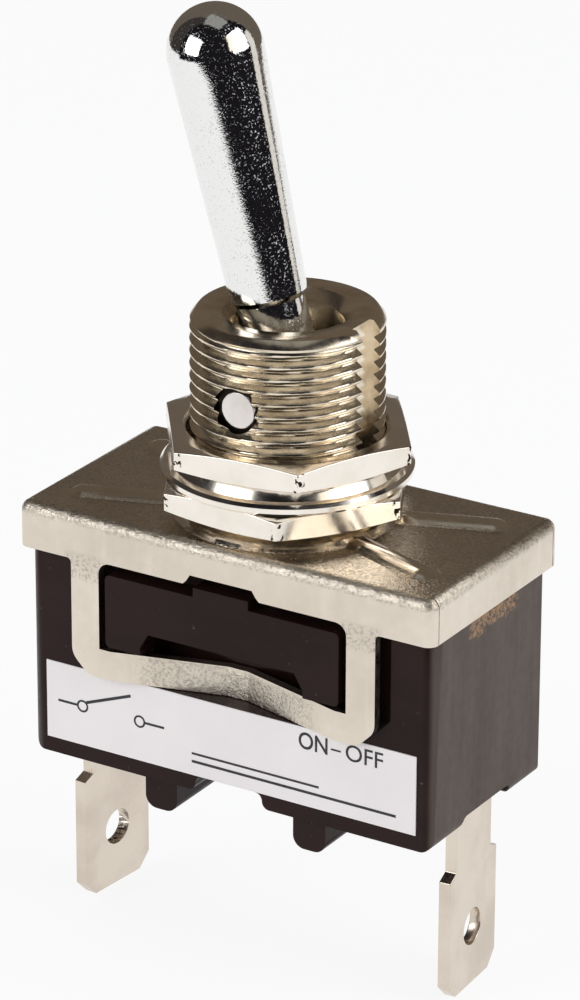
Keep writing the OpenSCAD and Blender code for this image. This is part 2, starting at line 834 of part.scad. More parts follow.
module lever() {
    ball = bat_ball_diameter / 2;
    over = 0.3;
    color(chrome)
        lever_at_rest()
            difference() {
                union() {
                    // Bat with its ball end, chamfered step, neck, pivot ball and tail.
                    translate([0, 0, bat_ball_distance])
                        sphere(ball);
                    translate([0, 0, bat_start])
                        cylinder(h = bat_ball_distance + over - bat_start, r1 = bat_root_diameter / 2,
                            r2 = ball - 0.02);
                    translate([0, 0, bat_start - neck_chamfer])
                        cylinder(h = neck_chamfer, r1 = neck_diameter / 2, r2 = bat_root_diameter / 2);
                    cylinder(h = bat_start - neck_chamfer, r = neck_diameter / 2);
                    sphere(pivot_ball_diameter / 2);
                    translate([0, 0, -tail_length])
                        cylinder(h = tail_length, r = tail_diameter / 2);
                }
                rotate([90, 0, 0])
                    cylinder(h = pivot_ball_diameter + 2 * cut,
                        r = pin_diameter / 2 + running_clearance, center = true);
                translate([0, 0, -tail_length - cut])
                    cylinder(h = tail_length - tail_bore_end + cut, r = tail_bore_radius);
            }
}

module plunger() {
    color(nylon)
        lever_at_rest() {
            translate([0, 0, -ball_distance])
                sphere(ball_radius);
            translate([0, 0, -ball_distance])
                cylinder(h = ball_distance - plunger_shoulder, r = ball_radius);
            translate([0, 0, -plunger_shoulder - 0.2])
                cylinder(h = plunger_stem + 0.2, r = plunger_stem_radius);
        }
}

// Coil of round wire between two ends, as one swept tube.
module plunger_spring() {
    wire = spring_wire / 2;
    bottom = -plunger_shoulder + wire + 0.02;
    top = -spring_top - wire;
    steps = 14;
    sides = 8;
    count = spring_turns * steps;
    rings = [for (i = [0:count])
        let (a = 360 * i / steps, z = bottom + (top - bottom) * i / count)
            [for (j = [0:sides - 1])
                let (b = 360 * j / sides, r = spring_radius + wire * cos(b))
                    [r * cos(a), r * sin(a), z + wire * sin(b)]]];
    points = [for (ring = rings) for (p = ring) p];
    walls = [for (i = [0:count - 1]) for (j = [0:sides - 1])
        [i * sides + j, i * sides + (j + 1) % sides, (i + 1) * sides + (j + 1) % sides,
            (i + 1) * sides + j]];
    start_cap = [for (j = [0:sides - 1]) sides - 1 - j];
    end_cap = [for (j = [0:sides - 1]) count * sides + j];
    color("silver")
        lever_at_rest()
            polyhedron(points, concat(walls, [start_cap, end_cap]));
}

// ---- Contact mechanism ---------------------------------------------------------------------

// Horizontal foot of a terminal on the case's floor.
module terminal_foot(from_x, to_x) {
    span([from_x, -foot_half_y, floor_z], [to_x, foot_half_y, foot_top_z]);
}

// Upright strip with its blade and hole, about its own middle line.
module terminal_blade() {
    difference() {
        through_x(-blade_thickness / 2, blade_thickness / 2)
            blade_outline(0);
        translate([0, 0, blade_tip_z + blade_hole_rise])
            rotate([0, 90, 0])
                cylinder(h = blade_thickness + 2 * cut, r = blade_hole / 2, center = true);
    }
}

module common_terminal() {
    color(tin)
        lowered() {
            translate([-blade_x, 0, 0])
                rotate([0, 0, common_blade_turn])
                    terminal_blade();
            difference() {
                terminal_foot(-blade_x, common_foot_end);
                translate([0, 0, floor_z - cut])
                    cylinder(h = blade_thickness + 2 * cut, r = rivet_radius);
            }
        }
}

module switched_terminal() {
    color(tin)
        lowered() {
            translate([blade_x, 0, 0])
                rotate([0, 0, switched_blade_turn])
                    terminal_blade();
            terminal_foot(switched_foot_end, blade_x);
        }
}

module fixed_contact() {
    color(silver)
        lowered()
            translate([touch_x, 0, foot_top_z])
                cylinder(h = touch_z - contact_air - foot_top_z, r = button_radius + 0.1);
}

// U-shaped bracket whose cheeks carry the arm's trunnion in open notches.
module contact_saddle() {
    half = saddle_length / 2;
    notch = trunnion_radius + running_clearance;
    color(brass)
        lowered()
            difference() {
                span([-half, -saddle_outer_y, foot_top_z], [half, saddle_outer_y, rocker_z + saddle_rise]);
                span([-half - cut, -saddle_inner_y, foot_top_z + saddle_sheet],
                    [half + cut, saddle_inner_y, rocker_z + saddle_rise + cut]);
                translate([0, 0, rocker_z])
                    rotate([90, 0, 0])
                        cylinder(h = 4 * saddle_outer_y, r = notch, center = true);
                span([-notch, -2 * saddle_outer_y, rocker_z],
                    [notch, 2 * saddle_outer_y, rocker_z + saddle_rise + cut]);
                translate([0, 0, foot_top_z - cut])
                    cylinder(h = saddle_sheet + 2 * cut, r = rivet_radius);
            }
}

module saddle_rivet() {
    shank = blade_thickness + saddle_sheet;
    color(brass)
        lowered()
            translate([0, 0, floor_z]) {
                cylinder(h = shank, r = rivet_radius);
                translate([0, 0, -rivet_head])
                    cylinder(h = rivet_head, r = rivet_head_radius);
                translate([0, 0, shank])
                    cylinder(h = rivet_head, r1 = rivet_head_radius, r2 = rivet_head_radius - 0.3);
            }
}

module contact_arm() {
    color(brass)
        rocker_at_rest() {
            span([-arm_left, -arm_width / 2, -arm_thickness / 2],
                [arm_right, arm_width / 2, arm_thickness / 2]);
            rotate([90, 0, 0])
                cylinder(h = 2 * saddle_outer_y + 0.4, r = trunnion_radius, center = true);
        }
}

// Domed button under the right end of the arm.
module moving_contact() {
    color(silver)
        rocker_at_rest()
            intersection() {
                translate([contact_x, 0, -arm_thickness / 2 - button_height])
                    cylinder(h = button_height, r = button_radius);
                translate([contact_x, 0, dome_centre_z])
                    sphere(button_dome);
            }
}

// Moulded block on the arm, hollowed to the arc on which the plunger's ball runs.
module rocker_cam() {
    base = arm_thickness / 2;
    color(phenolic)
        rocker_at_rest()
            difference() {
                span([-cam_half_length, -cam_width / 2, base], [cam_half_length, cam_width / 2, cam_top]);
                translate([0, 0, cam_centre_z])
                    rotate([90, 0, 0])
                        cylinder(h = 2 * cam_width, r = cam_radius, center = true);
                rotate([90, 0, 0])
                    cylinder(h = 2 * cam_width, r = trunnion_radius + 0.02, center = true);
            }
}

module label() {
    color(paper)
        lowered()
            span([-label_x, -case_width / 2 - label_thickness, -case_depth + label_margin],
                [label_x, -case_width / 2, label_top_z]);
}

housing();
cover_frame();
bushing();
pivot_pin();
lever();
plunger();
plunger_spring();
lower_nut();
lock_washer();
upper_nut();
insulator_plate();
common_terminal();
switched_terminal();
fixed_contact();
contact_saddle();
saddle_rivet();
contact_arm();
moving_contact();
rocker_cam();
label();
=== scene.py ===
"""Looks of the panel toggle switch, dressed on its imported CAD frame.

The frame is in metres, with its origin on the lever's pivot and +Z out of the panel. Sizes are in
millimetres here, and MM turns them into metres. Heights named _Z or _TOP, the bushing's profile and
the label's print count from the top of the cover plate, which lies PIVOT below the pivot. The lever
and its spring are drawn along the lever, from the pivot.
"""
import math

import bmesh
import bpy
from mathutils import Matrix, Vector

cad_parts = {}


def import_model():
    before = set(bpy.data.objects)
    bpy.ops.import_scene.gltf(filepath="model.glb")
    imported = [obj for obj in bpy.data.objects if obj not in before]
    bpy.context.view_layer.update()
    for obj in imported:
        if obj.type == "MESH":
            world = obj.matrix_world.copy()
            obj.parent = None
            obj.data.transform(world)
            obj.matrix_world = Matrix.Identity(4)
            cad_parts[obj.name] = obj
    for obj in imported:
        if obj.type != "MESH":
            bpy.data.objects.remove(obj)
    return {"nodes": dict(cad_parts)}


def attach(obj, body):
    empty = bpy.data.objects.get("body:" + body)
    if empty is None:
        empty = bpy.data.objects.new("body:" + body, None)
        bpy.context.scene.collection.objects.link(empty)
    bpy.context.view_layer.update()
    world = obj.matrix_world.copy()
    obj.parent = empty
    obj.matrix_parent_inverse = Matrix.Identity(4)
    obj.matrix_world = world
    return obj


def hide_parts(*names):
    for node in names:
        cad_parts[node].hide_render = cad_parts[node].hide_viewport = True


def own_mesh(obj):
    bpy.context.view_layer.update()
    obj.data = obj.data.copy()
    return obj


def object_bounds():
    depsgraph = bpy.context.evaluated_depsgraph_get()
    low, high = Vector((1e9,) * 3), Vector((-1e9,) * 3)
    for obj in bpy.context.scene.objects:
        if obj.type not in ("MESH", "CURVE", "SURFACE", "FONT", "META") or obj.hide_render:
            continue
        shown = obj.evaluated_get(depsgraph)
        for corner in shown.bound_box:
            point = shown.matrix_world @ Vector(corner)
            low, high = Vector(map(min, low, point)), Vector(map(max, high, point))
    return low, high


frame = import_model()
CAD_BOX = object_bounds()
NODES = frame["nodes"]
MM = 0.001

# Sizes in millimetres that follow the CAD pieces.
PIVOT = 8.3
BUSHING_R = 5.95
THREAD_PITCH = 25.4 / 32
THREAD_DEPTH = 0.42
BUSHING_TOP = 13.0
COLLAR_Z = 0.38
MOUTH_R = 4.0
THROAT_R = 3.3
TAIL_BORE_R = 4.5
NECK_R = 5.19
NECK_Z = -0.22
STAKE_R = 5.54
STAKE_Z = -0.77
KEYWAY_X = 6.1
KEYWAY_WIDTH = 2.0
PIN_GAP_R = 1.45
PIN_GAP_OFF_X = -0.2    # from the pin's axis to the middle of the gap round its ends
PIN_GAP_OFF_Y = 6.65
PIN_GAP_OFF_Z = -0.05
LEVER_TILT = 14.3
CASE_Y = 6.75
CASE_END_X = 14.45
NUT_CORNER_R = 8.23
LABEL_FACE = CASE_Y + 0.08
PRINT_LIFT = 0.012


# ---- Node helpers ----------------------------------------------------------------------

class Graph:
    """A material and its node tree, with short names for the calls used below."""

    def __init__(self, name):
        self.mat = bpy.data.materials.new(name)
        self.mat.use_nodes = True
        self.tree = self.mat.node_tree
        self.tree.nodes.clear()
        self.out = self.add("ShaderNodeOutputMaterial")
        self.bsdf = self.add("ShaderNodeBsdfPrincipled")
        self.link(self.bsdf.outputs[0], self.out.inputs["Surface"])

    def add(self, kind, **props):
        """A new node of this kind, with the settings in props."""
        node = self.tree.nodes.new(kind)
        for key, value in props.items():
            setattr(node, key, value)
        return node

    def link(self, a, b):
        self.tree.links.new(a, b)

    def put(self, socket, value):
        """Links value to the socket if it is one itself, and else sets it there."""
        if isinstance(value, bpy.types.NodeSocket):
            self.link(value, socket)
        else:
            socket.default_value = value

    def put_color(self, socket, color):
        self.put(socket, (*color, 1.0) if isinstance(color, tuple) else color)

    def position(self):
        """Object coordinates: the CAD frame itself, in metres."""
        return self.add("ShaderNodeTexCoord").outputs["Object"]

    def split(self, vector):
        node = self.add("ShaderNodeSeparateXYZ")
        self.link(vector, node.inputs[0])
        return node.outputs

    def math(self, op, a, b=0.0):
        node = self.add("ShaderNodeMath", operation=op)
        self.put(node.inputs[0], a)
        self.put(node.inputs[1], b)
        return node.outputs[0]

    def product(self, *values):
        out = values[0]
        for value in values[1:]:
            out = self.math("MULTIPLY", out, value)
        return out

    def length(self, a, b):
        return self.math("SQRT", self.math("ADD", self.product(a, a), self.product(b, b)))

    def noise(self, vector, scale, detail, rough, stretch=None):
        """Noise from 0 to 1; a stretch under 1 draws it out along that axis."""
        if stretch:
            mapping = self.add("ShaderNodeMapping")
            self.link(vector, mapping.inputs[0])
            mapping.inputs["Scale"].default_value = stretch
            vector = mapping.outputs[0]
        node = self.add("ShaderNodeTexNoise")
        self.link(vector, node.inputs["Vector"])
        node.inputs["Scale"].default_value = scale
        node.inputs["Detail"].default_value = detail
        node.inputs["Roughness"].default_value = rough
        return node.outputs[0]

    def ramp(self, value, low, high, a=0.0, b=1.0):
        """Runs smoothly from a to b as value goes from low to high."""
        node = self.add("ShaderNodeMapRange", interpolation_type="SMOOTHSTEP")
        self.put(node.inputs["Value"], value)
        for key, number in (("From Min", low), ("From Max", high), ("To Min", a), ("To Max", b)):
            node.inputs[key].default_value = number
        return node.outputs[0]

    def mix(self, factor, a, b):
        """Color a where factor is 0, and b where it is 1."""
        node = self.add("ShaderNodeMix", data_type="RGBA")
        self.put(node.inputs[0], factor)
        self.put_color(node.inputs[6], a)
        self.put_color(node.inputs[7], b)
        return node.outputs[2]

    def bump(self, height, strength, distance, below=None):
        """Bump of height times distance in millimetres, on top of the bump below."""
        node = self.add("ShaderNodeBump")
        self.put(node.inputs["Height"], height)
        node.inputs["Strength"].default_value = strength
        node.inputs["Distance"].default_value = distance * MM
        if below is not None:
            self.link(below, node.inputs["Normal"])
        return node.outputs[0]

    def window(self, value, low, high, soft):
        """1 where value lies between low and high, in millimetres, fading over soft."""
        rise = self.ramp(value, (low - soft) * MM, low * MM)
        fall = self.ramp(value, high * MM, (high + soft) * MM, 1.0, 0.0)
        return self.math("MULTIPLY", rise, fall)

    def finish(self, color, rough, normal=None, **sockets):
        """Closes the material; other sockets are named with _ for a space."""
        self.put_color(self.bsdf.inputs["Base Color"], color)
        self.put(self.bsdf.inputs["Roughness"], rough)
        if normal is not None:
            self.link(normal, self.bsdf.inputs["Normal"])
        for key, value in sockets.items():
            self.bsdf.inputs[key.replace("_", " ")].default_value = value
        return self.mat


# ---- Materials -------------------------------------------------------------------------

# Dark colour for the nuts' real corner chips, and for the painted shade in the gap round the pin's
# ends.
DARK_CHIPS_AND_SHADE = (0.022, 0.017, 0.013)


def metal(name, light, dark, polish, grain, bump, depth, stretch=None, chips_and_shade=None):
    """Plated metal: two tones, uneven polish and fine marks, dark where the mask function gives 1:
    real chips on the nuts' corners, and painted shade in the gap round the pin's ends.
    """
    g = Graph(name)
    p = g.position()
    clouds = g.noise(p, grain * 0.35, 4.0, 0.6)
    fine = g.noise(p, grain, 6.0, 0.65, stretch)
    color = g.mix(g.ramp(clouds, 0.35, 0.7), light, dark)
    wear = g.math("ADD", g.product(clouds, 0.5), g.product(fine, 0.5))
    rough = g.ramp(wear, 0.3, 0.7, *polish)
    if chips_and_shade:
        mask = chips_and_shade(g, p)
        # This mix paints real chips on the nuts, and painted shade in the pin's gap on the bushing.
        color = g.mix(mask, color, DARK_CHIPS_AND_SHADE)
        rough = g.math("ADD", rough, g.product(mask, 0.3))
    return g.finish(color, rough, g.bump(fine, bump, depth), Metallic=1.0)


def pin_gap_shade(g, p):
    """Painted shade: a dark ring on the bushing in the gap round the pin's ends, where shadow
    falls.
    """
    x, y, z = g.split(p)
    off_axis = g.length(g.math("SUBTRACT", x, PIN_GAP_OFF_X * MM),
                        g.math("SUBTRACT", z, PIN_GAP_OFF_Z * MM))
    inside = g.ramp(off_axis, (PIN_GAP_R + 0.01) * MM, (PIN_GAP_R + 0.05) * MM, 1.0, 0.0)
    near_mouth = g.ramp(g.math("ABSOLUTE", y), 4.3 * MM, 4.6 * MM)
    return g.product(inside, near_mouth)


def corner_chips(g, p):
    """Small dark chips on the nuts' corners."""
    x, y, z = g.split(p)
    ragged = g.product(g.math("SUBTRACT", g.noise(p, 900.0, 3.0, 0.6), 0.5), 0.5 * MM)
    out = g.math("ADD", g.length(x, y), ragged)
    corner = g.ramp(out, (NUT_CORNER_R - 0.21) * MM, (NUT_CORNER_R - 0.15) * MM)
    return g.product(corner, g.ramp(g.noise(p, 2300.0, 2.0, 0.6), 0.54, 0.58))


def chrome_material():
    """Bright chrome with a fine orange-peel, pits and handling dust that catch the light."""
    g = Graph("chrome_plate")
    p = g.position()
    peel = g.noise(p, 3200.0, 4.0, 0.7)
    pits = g.noise(p, 8200.0, 2.0, 0.5)
    worn = g.ramp(g.noise(p, 260.0, 3.0, 0.5), 0.38, 0.62, 0.35, 1.0)
    speck = g.product(g.ramp(pits, 0.58, 0.68), worn)
    color = g.mix(speck, (0.86, 0.855, 0.84), (0.74, 0.77, 0.83))
    rough = g.math("ADD", g.ramp(peel, 0.4, 0.7, 0.03, 0.09), g.product(speck, 0.42))
    normal = g.bump(pits, 0.35, 0.012, g.bump(peel, 0.16, 0.006))
    return g.finish(color, rough, normal, Metallic=1.0)


def pressed_sheet():
    """Nickel-plated pressed steel: satin flats, hammered and pitted where the press bent it."""
    g = Graph("pressed_sheet")
    p = g.position()
    x, y, z = g.split(p)
    height = g.math("ADD", z, PIVOT * MM)
    peel = g.noise(p, 1300.0, 4.0, 0.6)
    hammer = g.noise(p, 4600.0, 3.0, 0.6)
    pits = g.noise(p, 9000.0, 2.0, 0.6)
    clouds = g.noise(p, 130.0, 4.0, 0.55)
    drawn = g.noise(p, 620.0, 3.0, 0.6, (1.0, 1.0, 0.16))
    aside = g.math("ABSOLUTE", x)
    # Where the press worked the sheet: the fold, the roots of the bails' legs, the crimped bars.
    fold = g.window(height, -0.62, -0.1, 0.3)
    root = g.product(g.window(height, -4.0, -2.9, 0.5), g.window(aside, 8.6, 11.0, 0.4))
    bar = g.product(g.ramp(height, -9.0 * MM, -8.5 * MM, 1.0, 0.0), g.window(aside, -1.0, 5.0, 2.2))
    worked = g.math("MAXIMUM", fold, g.math("MAXIMUM", root, bar))
    marks = g.product(g.ramp(hammer, 0.46, 0.64), worked)
    color = g.mix(g.ramp(clouds, 0.3, 0.7), (0.79, 0.715, 0.615), (0.68, 0.61, 0.515))
    color = g.mix(g.product(g.ramp(drawn, 0.5, 0.75), 0.35), color, (0.88, 0.81, 0.71))
    color = g.mix(g.product(marks, 0.5), color, (0.30, 0.265, 0.225))
    # The plate's top keeps more of its polish.
    top = g.ramp(height, -0.15 * MM, 0.02 * MM)
    rough = g.math("ADD", g.ramp(peel, 0.3, 0.7, 0.26, 0.40), g.product(worked, 0.04))
    rough = g.math("SUBTRACT", rough, g.product(top, 0.14))
    calm = g.product(peel, g.math("SUBTRACT", 1.0, g.product(top, 0.7)))
    flat = g.bump(drawn, 0.20, 0.03, g.bump(calm, 0.22, 0.018))
    dents = g.product(g.math("ADD", hammer, g.product(pits, 0.5)), worked)
    return g.finish(color, rough, g.bump(dents, 1.0, 0.06, flat), Metallic=1.0)


def phenolic_material():
    """Near-black brown phenolic: flow marks, dust, end faces painted lighter as a painted sheen,
    and a rubbed patch at +X.
    """
    g = Graph("phenolic")
    p = g.position()
    x, y, z = g.split(p)
    height = g.math("ADD", z, PIVOT * MM)
    flow = g.noise(p, 150.0, 5.0, 0.6, (0.6, 0.6, 1.5))
    grain = g.noise(p, 1700.0, 4.0, 0.6)
    speck = g.noise(p, 2400.0, 2.0, 0.5)
    rub = g.noise(p, 4800.0, 3.0, 0.7)
    color = g.mix(g.ramp(flow, 0.3, 0.75), (0.0130, 0.0045, 0.0040), (0.0210, 0.0088, 0.0075))
    brush = g.noise(p, 520.0, 4.0, 0.6, (1.0, 1.0, 0.12))
    # The end faces are painted lighter in brushed streaks: a painted sheen standing in for the
    # light that falls on them.
    ends = g.ramp(g.math("ABSOLUTE", x), (CASE_END_X - 0.55) * MM, (CASE_END_X - 0.20) * MM)
    painted_end_sheen = g.product(ends, g.ramp(brush, 0.25, 0.75, 0.55, 1.0))
    color = g.mix(painted_end_sheen, color, (0.102, 0.080, 0.067))
    color = g.mix(g.ramp(speck, 0.72, 0.80, 0.0, 0.5), color, (0.13, 0.11, 0.10))
    ragged = g.product(g.math("SUBTRACT", g.noise(p, 2600.0, 3.0, 0.6), 0.5), 2.4 * MM)
    patch = g.product(g.window(g.math("ADD", height, ragged), -4.0, -3.1, 0.35),
                      g.window(g.math("ADD", y, ragged), -2.2, 2.6, 0.7),
                      g.ramp(x, (CASE_END_X - 0.45) * MM, (CASE_END_X - 0.25) * MM),
                      g.ramp(rub, 0.42, 0.56))
    color = g.mix(g.product(patch, 0.95), color, (0.33, 0.20, 0.11))
    rough = g.math("ADD", g.ramp(grain, 0.3, 0.7, 0.28, 0.38),
                   g.math("MAXIMUM", g.product(patch, 0.25), g.product(painted_end_sheen, 0.16)))
    return g.finish(color, rough, g.bump(grain, 0.16, 0.010, g.bump(flow, 0.15, 0.03)),
                    Specular_IOR_Level=0.15)


def label_material():
    """White label film, a little uneven."""
    g = Graph("label_film")
    p = g.position()
    fibre = g.noise(p, 1500.0, 3.0, 0.6)
    clouds = g.noise(p, 150.0, 3.0, 0.5)
    color = g.mix(g.ramp(clouds, 0.3, 0.7), (0.79, 0.745, 0.745), (0.83, 0.79, 0.785))
    return g.finish(color, g.ramp(fibre, 0.3, 0.7, 0.42, 0.52), g.bump(clouds, 0.1, 0.02))


def ink_material():
    """Black print, worn thin in places."""
    g = Graph("print_ink")
    fade = g.noise(g.position(), 2600.0, 3.0, 0.6)
    color = g.mix(g.ramp(fade, 0.35, 0.75), (0.010, 0.009, 0.011), (0.030, 0.028, 0.031))
    return g.finish(color, g.ramp(fade, 0.3, 0.7, 0.4, 0.55))


def plain(name, low, high, rough, metallic=0.0):
    """Inner pieces: a quiet two-tone material with a little grain."""
    g = Graph(name)
    grain = g.noise(g.position(), 500.0, 4.0, 0.6)
    color = g.mix(g.ramp(grain, 0.3, 0.7), low, high)
    return g.finish(color, g.ramp(grain, 0.3, 0.7, rough, rough + 0.12), g.bump(grain, 0.15, 0.02),
                    Metallic=metallic)


MATS = {
    "chrome": chrome_material(),
    "nickel": metal("nickel_plate", (0.86, 0.77, 0.63), (0.66, 0.565, 0.43), (0.13, 0.30),
                    grain=1500.0, bump=0.4, depth=0.022, chips_and_shade=pin_gap_shade),
    "nut": metal("nut_plate", (0.93, 0.875, 0.80), (0.85, 0.79, 0.70), (0.10, 0.22),
                 grain=700.0, bump=0.2, depth=0.015, chips_and_shade=corner_chips),
    "pin": metal("pin_end", (0.88, 0.84, 0.80), (0.78, 0.73, 0.69), (0.34, 0.50),
                 grain=900.0, bump=0.3, depth=0.03),
    "sheet": pressed_sheet(),
    "phenolic": phenolic_material(),
    "tin": metal("tin_plate", (0.74, 0.66, 0.565), (0.64, 0.56, 0.475), (0.20, 0.36),
                 grain=600.0, bump=0.25, depth=0.02, stretch=(1.0, 1.0, 0.2)),
    "label": label_material(),
    "ink": ink_material(),
    "brass": plain("brass", (0.62, 0.45, 0.2), (0.72, 0.55, 0.26), 0.25, 1.0),
    "silver": plain("silver", (0.75, 0.75, 0.73), (0.85, 0.85, 0.83), 0.25, 1.0),
    "fibre": plain("fibre", (0.28, 0.16, 0.09), (0.36, 0.22, 0.13), 0.65),
    "nylon": plain("nylon", (0.74, 0.71, 0.62), (0.8, 0.77, 0.68), 0.35),
    "steel": plain("spring_steel", (0.5, 0.5, 0.52), (0.62, 0.62, 0.64), 0.25, 1.0),
}
NODE_MATS = {
    "housing": "phenolic", "cover_frame": "sheet", "bushing": "nickel", "pivot_pin": "pin",
    "lever": "chrome", "plunger": "nylon", "plunger_spring": "steel", "lower_nut": "nut",
    "lock_washer": "nut", "upper_nut": "nut", "insulator_plate": "fibre", "common_terminal": "tin",
    "switched_terminal": "tin", "fixed_contact": "silver", "contact_saddle": "brass",
    "saddle_rivet": "brass", "contact_arm": "brass", "moving_contact": "silver",
    "rocker_cam": "phenolic", "label": "label",
}
for name, key in NODE_MATS.items():
    slots = NODES[name].data.materials
    slots.clear()
    slots.append(MATS[key])


# ---- Softened edges on the CAD pieces ----------------------------------------------------

FLAT_ANGLE = 0.6
EDGE_ANGLE = 28.0
EDGE_ROUNDS = {
    "housing": 0.16, "cover_frame": 0.07, "upper_nut": 0.08, "lower_nut": 0.08,
    "common_terminal": 0.07, "switched_terminal": 0.07, "pivot_pin": 0.08,
}


def soften(node, width):
    """Joins the mesh's split edges and flat faces, and rounds its edges by width millimetres."""
    modifiers = NODES[node].modifiers
    weld = modifiers.new("weld", "WELD")
    weld.merge_threshold = 1e-6
    flat = modifiers.new("flat", "DECIMATE")
    flat.decimate_type = "DISSOLVE"
    flat.angle_limit = math.radians(FLAT_ANGLE)
    bevel = modifiers.new("soften", "BEVEL")
    bevel.width = width * MM
    bevel.segments = 2
    bevel.limit_method = "ANGLE"
    bevel.angle_limit = math.radians(EDGE_ANGLE)
    bevel.use_clamp_overlap = True
    bevel.harden_normals = True


for node, width in EDGE_ROUNDS.items():
    soften(node, width)


# ---- Mesh helpers --------------------------------------------------------------------------

def metres(*values):
    """Millimetres to metres."""
    return tuple(value * MM for value in values)


def new_mesh(name, points, faces, material, smooth=True):
    """A new object from points in millimetres."""
    mesh = bpy.data.meshes.new(name)
    mesh.from_pydata([metres(*p) for p in points], [], faces)
    mesh.validate()
    mesh.update()
    if smooth:
        mesh.shade_smooth()
    mesh.materials.append(material)
    obj = bpy.data.objects.new(name, mesh)
    bpy.context.scene.collection.objects.link(obj)
    return obj


def around(i, sides):
    """Cosine and sine of step i of a full turn."""
    a = 2 * math.pi * i / sides
    return math.cos(a), math.sin(a)


def drill(bm, radius, depth, segments, place=(0.0, 0.0, 0.0)):
    """Adds a round cutter to bm, along Y, with its middle at place."""
    matrix = Matrix.Translation(metres(*place)) @ Matrix.Rotation(math.pi / 2, 4, "X")
    bmesh.ops.create_cone(bm, cap_ends=True, segments=segments, radius1=radius * MM,
                          radius2=radius * MM, depth=depth * MM, matrix=matrix)


def carve(obj, bm, sharp):
    """Cuts the solids in bm out of obj, and keeps edges over sharp degrees crisp."""
    mesh = bpy.data.meshes.new("cutter")
    bm.to_mesh(mesh)
    bm.free()
    cutter = bpy.data.objects.new("cutter", mesh)
    bpy.context.scene.collection.objects.link(cutter)
    boolean = obj.modifiers.new("cut", "BOOLEAN")
    boolean.operation = "DIFFERENCE"
    boolean.solver = "EXACT"
    boolean.object = cutter
    bpy.context.view_layer.update()
    graph = bpy.context.evaluated_depsgraph_get()
    result = bpy.data.meshes.new_from_object(obj.evaluated_get(graph))
    obj.modifiers.clear()
    obj.data = result
    obj.data.shade_smooth()
    obj.data.set_sharp_from_angle(angle=math.radians(sharp))
    bpy.data.objects.remove(cutter)


# ---- Threaded bushing --------------------------------------------------------------------

def thread_radius(z, turned, low, high):
    """The thread's outline at height z, after turned of a full turn: flat crest, V, run-outs."""
    crest_share, flank_share, run_out = 0.14, 0.78, 0.25
    wave = abs(2 * ((z / THREAD_PITCH - turned) % 1.0) - 1)
    depth = THREAD_DEPTH * min(1.0, max(0.0, (wave - crest_share) / flank_share))
    fade = max(0.0, min(1.0, (high - z) / run_out, (z - low) / run_out))
    return BUSHING_R - 0.02 - depth * fade


def bushing():
    """The bushing with its real helical thread, cut by the keyway and the pin's hole."""
    sides, rows_per_turn = 168, 14
    low, high = COLLAR_Z + 0.3, BUSHING_TOP - 0.5
    steps = int((high - low) / THREAD_PITCH * rows_per_turn)
    # From the thread's end over the rim, down the mouth and the bores, and up round the neck.
    inner = [(BUSHING_R - 0.06, high + 0.02),
             (BUSHING_R - 0.44, BUSHING_TOP - 0.03), (BUSHING_R - 0.52, BUSHING_TOP),
             (MOUTH_R + 0.08, BUSHING_TOP), (MOUTH_R, BUSHING_TOP - 0.06),
             (THROAT_R + 0.12, BUSHING_TOP - 0.62), (THROAT_R, BUSHING_TOP - 0.8),
             (THROAT_R, PIVOT - 2.0), (TAIL_BORE_R, PIVOT - 3.3), (TAIL_BORE_R, STAKE_Z),
             (STAKE_R, STAKE_Z), (STAKE_R, NECK_Z), (NECK_R, NECK_Z), (NECK_R, COLLAR_Z),
             (BUSHING_R - 0.3, COLLAR_Z)]
    points, faces = [], []
    total = steps + len(inner)
    for i in range(sides):
        c, s = around(i, sides)
        heights = [low + (high - low) * k / steps for k in range(steps)]
        ring = [(thread_radius(z, i / sides, low, high), z) for z in heights] + inner
        points += [(r * c, r * s, z - PIVOT) for r, z in ring]
    for i in range(sides):
        j = (i + 1) % sides
        for k in range(total):
            m = (k + 1) % total
            faces.append((i * total + k, j * total + k, j * total + m, i * total + m))
    obj = new_mesh("bushing_thread", points, faces, MATS["nickel"])
    bm = bmesh.new()
    bmesh.ops.create_cube(bm, size=1.0)
    bm.transform(Matrix.Translation((KEYWAY_X * MM, 0, (7.0 - PIVOT) * MM))
                 @ Matrix.Diagonal((KEYWAY_WIDTH * MM, KEYWAY_WIDTH * MM, 12.1 * MM, 1.0)))
    for side in (-1, 1):
        drill(bm, PIN_GAP_R, 2.8, 48, (PIN_GAP_OFF_X, side * PIN_GAP_OFF_Y, PIN_GAP_OFF_Z))
    carve(obj, bm, 38)
    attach(obj, "case")
    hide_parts("bushing")


bushing()


# ---- Smooth lever ------------------------------------------------------------------------

